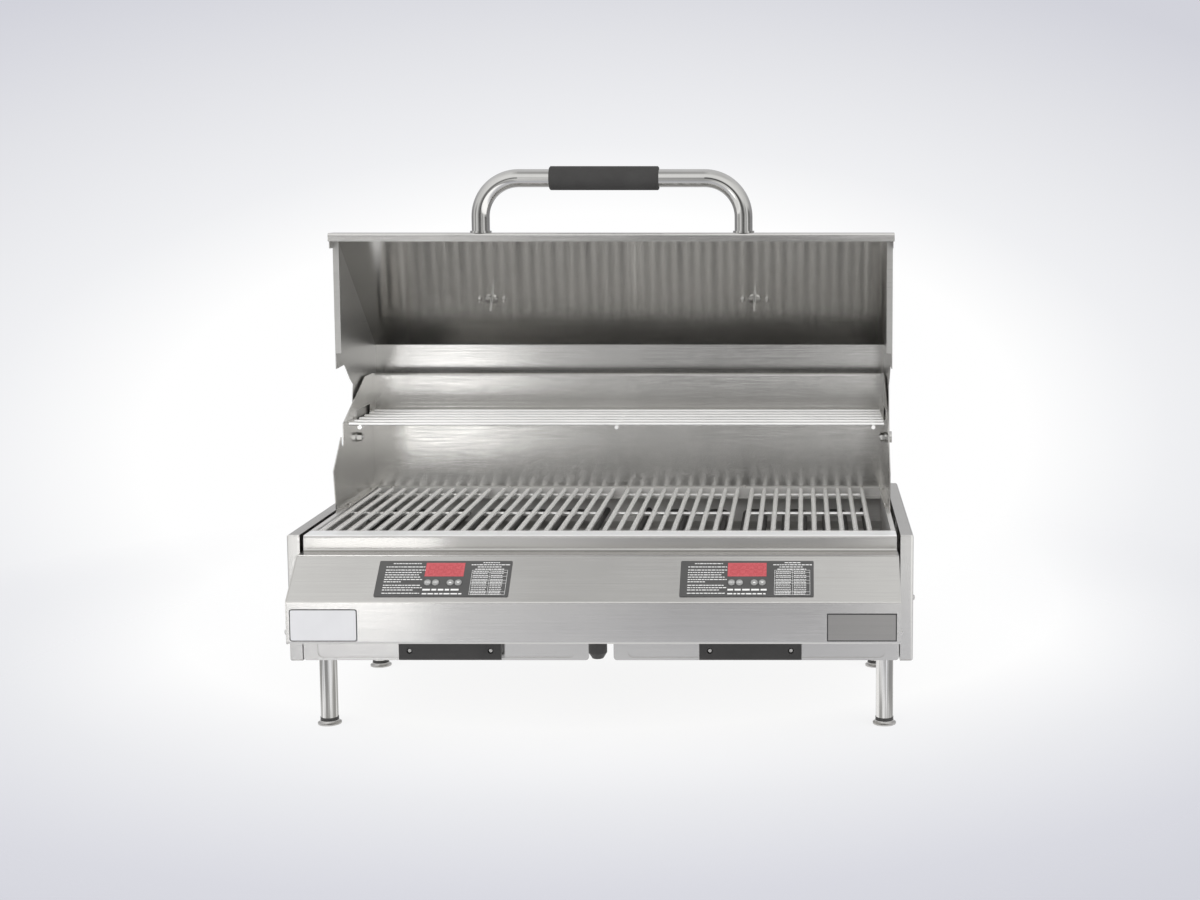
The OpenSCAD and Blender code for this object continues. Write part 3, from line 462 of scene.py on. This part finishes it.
def add_table(mesh, place):
    """A ruled table of two columns, with lines of bars in its cells."""
    top = TABLE_ROWS[0]
    bottom = TABLE_ROWS[-1]
    for y in TABLE_ROWS:
        add_bar(mesh, place, TABLE_LEFT * MM, y * MM, (TABLE_RIGHT - TABLE_LEFT) * MM, RULE, PRINT_T)
    for x in (TABLE_LEFT, TABLE_RIGHT, TABLE_SPLIT):
        add_bar(mesh, place, x * MM, bottom * MM, RULE, (top - bottom) * MM, PRINT_T)
    columns = ((TABLE_LEFT + CELL_EDGE, TABLE_SPLIT - CELL_EDGE),
               (TABLE_SPLIT + CELL_EDGE, TABLE_RIGHT - CELL_RIGHT_EDGE))
    for high, low in zip(TABLE_ROWS, TABLE_ROWS[1:]):
        lines = max(1, round((high - low) / CELL_LINE_PITCH))
        for i in range(lines):
            y = high - (i + 0.5) * (high - low) / lines
            for x0, x1 in columns:
                add_words(mesh, place, x0 * MM, x1 * MM, y * MM, CELL_LINE_HEIGHT)


def panel_print(side):
    """Generic print of one panel: two blocks of plain bars, two bolder lines and a ruled table."""
    place = slope_face(side + "_control_panel", PANEL_T)
    mesh = bmesh.new()
    for y, x0, x1 in LEFT_LINES + RIGHT_LINES:
        add_words(mesh, place, x0 * MM, x1 * MM, y * MM, LINE_HEIGHT)
    for y, x0, x1, height in BOLD_LINES:
        add_words(mesh, place, x0 * MM, x1 * MM, y * MM, height * MM)
    add_table(mesh, place)
    add_piece(side + "_panel_print", mesh, print_white, BODY)


def plain_text(name, words, height, place, material, body):
    """A short plain word or number, turned into a mesh."""
    curve = bpy.data.curves.new(name, "FONT")
    curve.body = words
    curve.size = height
    curve.align_x = "CENTER"
    curve.align_y = "CENTER"
    curve.extrude = PRINT_T / 4
    curve.materials.append(material)
    maker = bpy.data.objects.new(name + "_maker", curve)
    bpy.context.scene.collection.objects.link(maker)
    bpy.context.view_layer.update()
    shaped = maker.evaluated_get(bpy.context.evaluated_depsgraph_get())
    data = bpy.data.meshes.new_from_object(shaped)
    bpy.data.objects.remove(maker)
    piece = bpy.data.objects.new(name, data)
    bpy.context.scene.collection.objects.link(piece)
    piece.matrix_world = place @ Matrix.Translation((0, 0, PRINT_T / 4))
    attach(piece, body)


KEY_LENGTH = 5.4 * MM
ARROW_HALF = 2.6 * MM
ARROW_TALL = 2.5 * MM


def key_word(side, key, words, height):
    node = side + "_" + key + "_button"
    place = slope_face(node, KEY_LENGTH)
    plain_text(node + "_word", words, height, place, print_white, node)


def key_arrow(side, key, direction):
    """A triangle on a key that points up or down the slope."""
    node = side + "_" + key + "_button"
    tip = ARROW_TALL / 2 * direction
    outline = [(-ARROW_HALF, -tip), (ARROW_HALF, -tip), (0, tip)]
    mesh = bmesh.new()
    add_plate(mesh, outline[::direction], slope_face(node, KEY_LENGTH), PRINT_T)
    add_piece(node + "_arrow", mesh, print_white, node)


DISPLAY_T = 2.4 * MM
DIGIT_WIDE = 8.6 * MM
DIGIT_TALL = 15.2 * MM
DIGIT_PITCH = 11.8 * MM
SEGMENT = 1.7 * MM
SEGMENT_GAP = 0.35 * MM
DIGIT_LEAN = 0.12


def display_digits(side):
    """Four unlit digits of seven segments, a little darker than the window."""
    place = slope_face(side + "_display", DISPLAY_T)
    half_wide = DIGIT_WIDE / 2
    half_tall = DIGIT_TALL / 2
    flat_long = DIGIT_WIDE - SEGMENT - 2 * SEGMENT_GAP
    tall_long = half_tall - SEGMENT - 2 * SEGMENT_GAP
    start = SEGMENT / 2 + SEGMENT_GAP
    flat = [(start - half_wide, y - SEGMENT / 2, flat_long, SEGMENT) for y in (-half_tall, 0, half_tall)]
    tall = [(x - SEGMENT / 2, y + start, SEGMENT, tall_long)
            for x in (-half_wide, half_wide) for y in (-half_tall, 0)]
    mesh = bmesh.new()
    for i in range(4):
        cx = (i - 1.5) * DIGIT_PITCH
        for x, y, w, h in flat + tall:
            corners = [(x, y), (x + w, y), (x + w, y + h), (x, y + h)]
            outline = [(cx + px + DIGIT_LEAN * py, py) for px, py in corners]
            add_plate(mesh, outline, place, PRINT_T / 2)
    add_piece(side + "_display_digits", mesh, segment_red, BODY)


for side in SIDES:
    panel_print(side)
    display_digits(side)
    key_word(side, "on", "ON", 4.2 * MM)
    key_word(side, "off", "OFF", 3.6 * MM)
    key_arrow(side, "up", 1)
    key_arrow(side, "down", -1)


# Bare plates on the control box's face

BACKING_T = 0.5 * MM
BACKING_BEVEL = 0.15 * MM
PLATE_T = 0.2 * MM
PLATE_BEVEL = 0.05 * MM
LEAST_CORNER = 0.3


def bare_plate(name, x, z, width, height, corner, rim, face):
    """A blank plate, sizes in mm: dark backing that shows as a border, and a paler face on it."""
    place = facing(Vector((x * MM, FACE_Y, z * MM)), X_AXIS, UP)
    outer = rounded_outline(width * MM, height * MM, corner * MM)
    backing = bmesh.new()
    add_plate(backing, outer, place, BACKING_T, BACKING_BEVEL)
    add_piece(name + "_backing", backing, print_black, BODY)
    inner = rounded_outline((width - 2 * rim) * MM, (height - 2 * rim) * MM,
                            max(corner - rim, LEAST_CORNER) * MM)
    plate = bmesh.new()
    add_plate(plate, inner, place @ Matrix.Translation((0, 0, BACKING_T)), PLATE_T, PLATE_BEVEL)
    add_piece(name, plate, face, BODY)


bare_plate("left_bare_plate", x=-370.5, z=184.7, width=93, height=45, corner=3.5, rim=1.4,
           face=plate_white)
bare_plate("right_bare_plate", x=368.5, z=181.7, width=96, height=39, corner=0.6, rim=1.6,
           face=plate_steel)


# Screws

def pan_head(radius, height):
    """Profile of a domed screw head with a dished recess in its middle."""
    return [(radius, 0), (radius, 0.35 * height), (0.82 * radius, 0.8 * height), (0.42 * radius, height),
            (0.36 * radius, 0.75 * height), (0, 0.7 * height)]


def screws(name, body, places, radius, height):
    mesh = bmesh.new()
    for place in places:
        turned_profile(mesh, pan_head(radius * MM, height * MM), place)
    add_piece(name, mesh, zinc, body)


# Radius and height of each head in mm
HANDLE_HEAD = (3.4, 2.6)
SIDE_HEAD = (4.0, 2.4)
FOOT_HEAD = (2.6, 2.2)
RIM_HEAD = (3.3, 2.4)

# Places in mm: a handle's from its own middle, front and foot, the others from the object's middle,
# the side panels' front and the floor
HANDLE_SCREW_X = 57.5
HANDLE_SCREW_DEEP = 4.0
HANDLE_SCREW_Z = 13.6
BOX_SCREW_Y = -85.0
BOX_SCREW_Z = 174.5
PANEL_SCREW_Y = 8.0
PANEL_SCREW_Z = 200.5
WALL_FOOT_X = 415.3
WALL_FOOT_Y = (236.0, 378.0)
WALL_FOOT_T = 1.5
RIM_SCREW_X = -2.2
RIM_SCREW_PITCH = 192.6
RIM_SCREW_Y = 399.5

for side in SIDES:
    low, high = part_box(side + "_tray_handle")
    handle_x = (low.x + high.x) / 2
    handle_places = [
        outward(FRONT, Vector((handle_x + end * HANDLE_SCREW_X * MM, low.y + HANDLE_SCREW_DEEP * MM,
                               low.z + HANDLE_SCREW_Z * MM)))
        for end in (-1, 1)]
    screws(side + "_handle_screws", side + "_tray", handle_places, *HANDLE_HEAD)

panel_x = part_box("right_side_panel")[1].x
rim_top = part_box("firebox")[1].z
for side, sign in zip(SIDES, (-1, 1)):
    box_spot = Vector((sign * box_high.x, FLANGE_Y + BOX_SCREW_Y * MM, BOX_SCREW_Z * MM))
    screws(side + "_box_end_screw", BODY, [outward(X_AXIS * sign, box_spot)], *SIDE_HEAD)
    panel_spot = Vector((sign * panel_x, FLANGE_Y + PANEL_SCREW_Y * MM, PANEL_SCREW_Z * MM))
    screws(side + "_panel_screw", BODY, [outward(X_AXIS * sign, panel_spot)], *SIDE_HEAD)
    foot_places = [
        outward(UP, Vector((sign * WALL_FOOT_X * MM, FLANGE_Y + y * MM, rim_top + WALL_FOOT_T * MM)))
        for y in WALL_FOOT_Y]
    screws(side + "_wall_foot_screws", BODY, foot_places, *FOOT_HEAD)

rim_places = [
    outward(UP, Vector(((RIM_SCREW_X + RIM_SCREW_PITCH * i) * MM, FLANGE_Y + RIM_SCREW_Y * MM, rim_top)))
    for i in (-2, -1, 0, 1, 2)]
screws("rear_rim_screws", BODY, rim_places, *RIM_HEAD)


# Lid gauges: two small nuts beside each stem inside, a plain dial outside

LID_SLOPE_RISE = 231.0
LID_SLOPE_RUN = 191.0
LID_SHEET = 1.2 * MM
GAUGE_NUT_X = 19.5 * MM
NUT_PROFILE = ((3.6, 0), (3.6, 2.2), (3.1, 2.6), (1.6, 2.6))
STUD_PROFILE = ((1.55, 2.4), (1.55, 6.0), (1.2, 6.6), (0, 6.6))
DIAL_FLOOR = 3.0 * MM
DIAL_R = 24.6 * MM
DIAL_T = 0.1 * MM
DIAL_STEPS = 64
DIAL_START = 225
DIAL_SWEEP = 270
TICKS = 30
NUMBERS = 6
NUMBER_STEP = 50
NUMBER_HEIGHT = 4.4 * MM
# Radii as shares of the dial's, and widths of the ticks
TICK_OUTER = 0.93
SHORT_TICK = (0.86, 0.35 * MM)
LONG_TICK = (0.80, 0.7 * MM)
NUMBER_R = 0.66
lid_tilt = math.atan2(LID_SLOPE_RISE, LID_SLOPE_RUN)
gauge_in = Vector((0, -math.cos(lid_tilt), -math.sin(lid_tilt)))


def gauge_nuts(side):
    centre = joint_places[side + "_pointer_turn"]
    mesh = bmesh.new()
    for end in (-1, 1):
        place = outward(gauge_in, centre + X_AXIS * end * GAUGE_NUT_X + gauge_in * LID_SHEET)
        for profile, steps in ((NUT_PROFILE, 6), (STUD_PROFILE, 12)):
            turned_profile(mesh, [(r * MM, z * MM) for r, z in profile], place, steps)
    add_piece(side + "_gauge_nuts", mesh, zinc, LID)


def gauge_dial(side):
    """White dial with a ring of ticks and plain numbers."""
    up = gauge_in.cross(X_AXIS)
    right = up.cross(-gauge_in)
    place = facing(joint_places[side + "_pointer_turn"] - gauge_in * DIAL_FLOOR, right, up)
    top = place @ Matrix.Translation((0, 0, DIAL_T))
    turns = [math.tau * i / DIAL_STEPS for i in range(DIAL_STEPS)]
    disc = bmesh.new()
    add_plate(disc, [(DIAL_R * math.cos(a), DIAL_R * math.sin(a)) for a in turns], place, DIAL_T)
    add_piece(side + "_dial", disc, plate_white, LID)
    ticks = bmesh.new()
    for i in range(TICKS + 1):
        turn = Matrix.Rotation(math.radians(DIAL_START - DIAL_SWEEP / TICKS * i), 4, "Z")
        share, width = SHORT_TICK if i % (TICKS // NUMBERS) else LONG_TICK
        inner = DIAL_R * share
        add_bar(ticks, top @ turn, inner, -width / 2, DIAL_R * TICK_OUTER - inner, width, PRINT_T / 2)
    add_piece(side + "_dial_ticks", ticks, print_black, LID)
    for i in range(NUMBERS + 1):
        angle = math.radians(DIAL_START - DIAL_SWEEP / NUMBERS * i)
        number = str(i * NUMBER_STEP)
        spot = Vector((math.cos(angle), math.sin(angle), 0)) * NUMBER_R * DIAL_R
        plain_text(side + "_dial_" + number, number, NUMBER_HEIGHT, top @ Matrix.Translation(spot),
                   print_black, LID)


for side in SIDES:
    gauge_nuts(side)
    gauge_dial(side)


# Camera at the photograph's viewing angle

PHOTO = (1200, 900)
FOCAL_PX = 1735.0
PITCH = math.radians(5.5)
HORIZON_PX = 187.5
AXIS_PX = (803.5, HORIZON_PX + FOCAL_PX * math.tan(PITCH))
SENSOR = 36.0
CAMERA_AT = Vector((0.2883, FLANGE_Y - 2.422, 0.7825))

camera_data = bpy.data.cameras.new("photo_camera")
camera_data.sensor_width = SENSOR
camera_data.lens = FOCAL_PX / PHOTO[0] * SENSOR
camera_data.shift_x = (PHOTO[0] / 2 - AXIS_PX[0]) / PHOTO[0]
camera_data.shift_y = (AXIS_PX[1] - PHOTO[1] / 2) / PHOTO[0]
camera = bpy.data.objects.new("photo_camera", camera_data)
camera.location = CAMERA_AT
camera.rotation_euler = (math.pi / 2 - PITCH, 0, 0)
bpy.context.scene.collection.objects.link(camera)
bpy.context.scene.camera = camera


# Studio: round pale floor, softboxes and a world of plain tones

FLOOR_R = 1.7
FLOOR_MIDDLE = (0, 0.1, 0)
FLOOR_STEPS = 64
EDGE_FADE = (0.05, 0.55)
# Painted pool of light on the floor: white round the object, pale lavender further off
POOL_MIDDLE = (-0.05, 0.75, 0)
POOL_REACH = (1.85, 2.0, 2.0)
POOL_TONES = ((0.05, (0.59, 0.60, 0.655)), (0.25, (0.68, 0.685, 0.74)), (0.40, (0.82, 0.825, 0.85)),
               (0.55, (1.0, 1.0, 1.0)))
PAPER_GLOW = 0.85


def floor_paper():
    """Paper with a painted pool of light, white round the object and pale lavender in front, that fades away at
    its edge.
    """
    paper = Finish("floor paper", Roughness=0.9)
    spot = paper.place()
    split = paper.node("SeparateXYZ", Vector=spot)
    ahead = paper.math("MINIMUM", split.outputs["Y"], POOL_MIDDLE[1])
    flat = paper.node("CombineXYZ", X=split.outputs["X"], Y=ahead).outputs["Vector"]
    # Colour of the painted pool of light
    tint = paper.stops(paper.round_fade(flat, POOL_MIDDLE, POOL_REACH), POOL_TONES)
    fade = paper.round_fade(spot, FLOOR_MIDDLE, (FLOOR_R, FLOOR_R, FLOOR_R))
    paper.feed(Base_Color=tint)
    path = paper.node("LightPath").outputs
    mirrored = paper.math("MAXIMUM", path["Is Glossy Ray"], path["Is Transmission Ray"])
    seen = paper.math("MAXIMUM", path["Is Camera Ray"], mirrored)
    glow = paper.node("Emission", Color=tint, Strength=1.0)
    lit = paper.node("MixShader", Fac=paper.math("MULTIPLY", seen, PAPER_GLOW))
    paper.give(lit.inputs[1], paper.shader.outputs[0])
    paper.give(lit.inputs[2], glow.outputs[0])
    edge = paper.node("MixShader", Fac=paper.ramp(fade, 0.0, 1.0, *EDGE_FADE))
    paper.give(edge.inputs[1], paper.node("BsdfTransparent").outputs[0])
    paper.give(edge.inputs[2], lit.outputs[0])
    paper.set(paper.tree.nodes["Material Output"], {"Surface": edge.outputs[0]})
    return paper.material


def studio_floor():
    mesh = bmesh.new()
    turned_profile(mesh, [(FLOOR_R, 0), (0, 0)], Matrix.Translation(FLOOR_MIDDLE), FLOOR_STEPS)
    mesh_object("floor", mesh, floor_paper())


def softbox(name, place, aim, size, power, mirrored=False):
    """An area lamp that the camera doesn't see, and that shows in gloss only where mirrored is set."""
    lamp = bpy.data.lights.new(name, "AREA")
    lamp.shape = "RECTANGLE"
    lamp.size, lamp.size_y = size
    lamp.energy = power
    holder = bpy.data.objects.new(name, lamp)
    holder.location = place
    holder.rotation_euler = (Vector(aim) - Vector(place)).to_track_quat("-Z", "Y").to_euler()
    holder.visible_camera = False
    holder.visible_glossy = mirrored
    bpy.context.scene.collection.objects.link(holder)


# Tones of the studio's front at five heights: each row has pairs of direction, from left to right,
# and tone. FRONT_BANDS gives the heights between which each row takes over from the one below.
LOW_TONES = (
    (-0.35, 1.1), (-0.27, 1.05), (-0.22, 1.0), (-0.145, 0.86), (-0.115, 0.62), (0.0, 0.48),
    (0.038, 0.54), (0.05, 1.2), (0.07, 1.7), (0.24, 1.7))
MIDDLE_TONES = (
    (-0.24, 1.3), (-0.16, 1.25), (-0.11, 0.75), (-0.085, 0.46), (-0.05, 0.42), (0.01, 0.46),
    (0.037, 1.0), (0.07, 1.6), (0.14, 1.6))
LEVEL_TONES = (
    (-0.97, 0.9), (-0.9, 0.4), (-0.8, 0.45), (-0.7, 1.0), (-0.34, 0.5), (-0.28, 0.20), (-0.24, 0.22),
    (-0.2, 0.35), (-0.1, 0.13), (0.0, 0.10), (0.1, 0.16), (0.5, 0.75), (0.62, 0.25), (0.7, 0.9),
    (0.85, 0.9), (0.92, 0.2))
KEY_TONES = ((-0.8, 0.9), (-0.3, 1.15), (0.3, 1.15), (0.8, 0.9))
TOP_TONES = ((-0.6, 0.85), (-0.29, 0.97), (-0.12, 0.44), (0.06, 0.87), (0.4, 0.75), (0.8, 0.6))
FRONT_BANDS = (
    (LOW_TONES, -1.0, -0.9), (MIDDLE_TONES, -0.22, -0.15), (LEVEL_TONES, -0.12, -0.07),
    (KEY_TONES, 0.1, 0.25), (TOP_TONES, 0.7, 0.9))

# Tones of its back by height, of the ground that the camera sees, which is a painted pool of light, white in the
# middle and lavender at the edges, and where front turns to back
BACK_TONES = ((0.0, (0.36, 0.36, 0.37)), (0.3, (0.60, 0.60, 0.61)), (0.7, (0.82, 0.82, 0.83)))
BACK_TURN = (-0.2, 0.2)
GROUND_MIDDLE = (-0.115, 0, -0.14)
GROUND_REACH = (0.64, 0, 0.33)
GROUND_TONES = (
    (0.15, (0.644, 0.65, 0.708)), (0.32, (0.76, 0.765, 0.80)), (0.5, (0.87, 0.875, 0.895)),
    (0.62, (1.0, 1.0, 1.0)))


def grey_stops(tones):
    """Stops of a grey ramp from (direction, tone) pairs between -1 and 1."""
    return [((x + 1) / 2, (tone, tone, tone)) for x, tone in tones]


def studio_world():
    """Plain tones round the object for light and reflections, and for the camera a painted pool of light from
    white to lavender.
    """
    world = bpy.data.worlds.new("studio")
    world.use_nodes = True
    bpy.context.scene.world = world
    sky = NodeTree(world.node_tree)
    towards = sky.node("TexCoord").outputs["Generated"]
    split = sky.node("SeparateXYZ", Vector=towards).outputs
    across = sky.ramp(split["X"], 0.0, 1.0, -1.0, 1.0)
    front = None
    for tones, low, high in FRONT_BANDS:
        band = sky.stops(across, grey_stops(tones))
        height = sky.ramp(split["Z"], 0.0, 1.0, low, high)
        front = sky.mix("RGBA", height, front, band) if front else band
    back = sky.stops(split["Z"], BACK_TONES)
    light = sky.mix("RGBA", sky.ramp(split["Y"], 0.0, 1.0, *BACK_TURN), front, back)
    # Painted pool of light that the camera sees, white in the middle and lavender at the edges
    ground = sky.stops(sky.round_fade(towards, GROUND_MIDDLE, GROUND_REACH), GROUND_TONES)
    shown = sky.mix("RGBA", sky.node("LightPath").outputs["Is Camera Ray"], light, ground)
    sky.set(sky.tree.nodes["Background"], {"Color": shown})


AIM = (0, 0, 0.35)
studio_floor()
softbox("left_softbox", (-2.3, -2.3, 2.1), AIM, (4.4, 4.4), 58)
softbox("right_softbox", (2.4, -1.3, 2.0), AIM, (3.6, 3.6), 42)
softbox("low_softbox", (-0.68, -1.6, 0.12), (-0.3, 0.1, 0.4), (0.3, 0.2), 0.65, True)
studio_world()
bpy.context.scene.view_settings.view_transform = "Standard"
